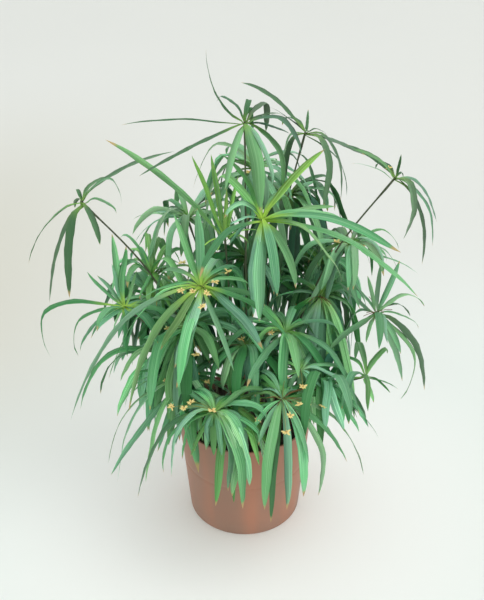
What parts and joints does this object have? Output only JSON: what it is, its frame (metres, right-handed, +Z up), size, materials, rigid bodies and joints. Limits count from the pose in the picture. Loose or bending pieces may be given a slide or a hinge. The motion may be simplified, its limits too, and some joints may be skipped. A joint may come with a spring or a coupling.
{
  "type": "potted dwarf papyrus",
  "caption": "Dwarf papyrus in a plain terracotta-coloured plastic pot: thin stems that each carry a crown of arching strap leaves, growing from dark soil.",
  "frame": {"origin": "centre of the pot's underside, on the surface that it stands on", "axes": "+Z up; -Y towards the front that the picture shows; +X to the right as seen from the front"},
  "size_m": [0.4184, 0.3458, 0.542],
  "materials": {
    "pot": "satin",
    "soil": "matte",
    "stem": "satin",
    "leaf": "satin",
    "young_leaf": "satin",
    "spikelet": "matte"
  },
  "bodies": {
    "root": {"pot": "pot", "soil": "soil", "stem_01": "stem", "stem_02": "stem", "stem_03": "stem", "stem_04": "stem", "stem_05": "stem", "stem_06": "stem", "stem_07": "stem", "stem_08": "stem", "stem_09": "stem", "stem_10": "stem", "stem_11": "stem", "stem_12": "stem", "stem_13": "stem", "stem_14": "stem", "stem_15": "stem", "stem_16": "stem", "stem_17": "stem", "stem_18": "stem", "stem_19": "stem", "stem_20": "stem", "stem_21": "stem", "stem_22": "stem", "stem_23": "stem", "stem_24": "stem", "stem_25": "stem", "stem_26": "stem", "stem_27": "stem", "stem_28": "stem", "stem_29": "stem", "leaf_crown_01": "leaf", "leaf_crown_02": "leaf", "leaf_crown_03": "leaf", "leaf_crown_04": "leaf", "leaf_crown_05": "leaf", "leaf_crown_06": "young_leaf", "leaf_crown_07": "leaf", "leaf_crown_08": "leaf", "leaf_crown_09": "leaf", "leaf_crown_10": "leaf", "leaf_crown_11": "young_leaf", "leaf_crown_12": "leaf", "leaf_crown_13": "leaf", "leaf_crown_14": "leaf", "leaf_crown_15": "leaf", "leaf_crown_16": "leaf", "leaf_crown_17": "leaf", "leaf_crown_18": "leaf", "leaf_crown_19": "young_leaf", "leaf_crown_20": "young_leaf", "leaf_crown_21": "young_leaf", "leaf_crown_22": "leaf", "leaf_crown_23": "leaf", "leaf_crown_24": "leaf", "leaf_crown_25": "leaf", "leaf_crown_26": "leaf", "leaf_crown_27": "leaf", "leaf_crown_28": "leaf", "leaf_crown_29": "leaf"}
  },
  "joints": []
}
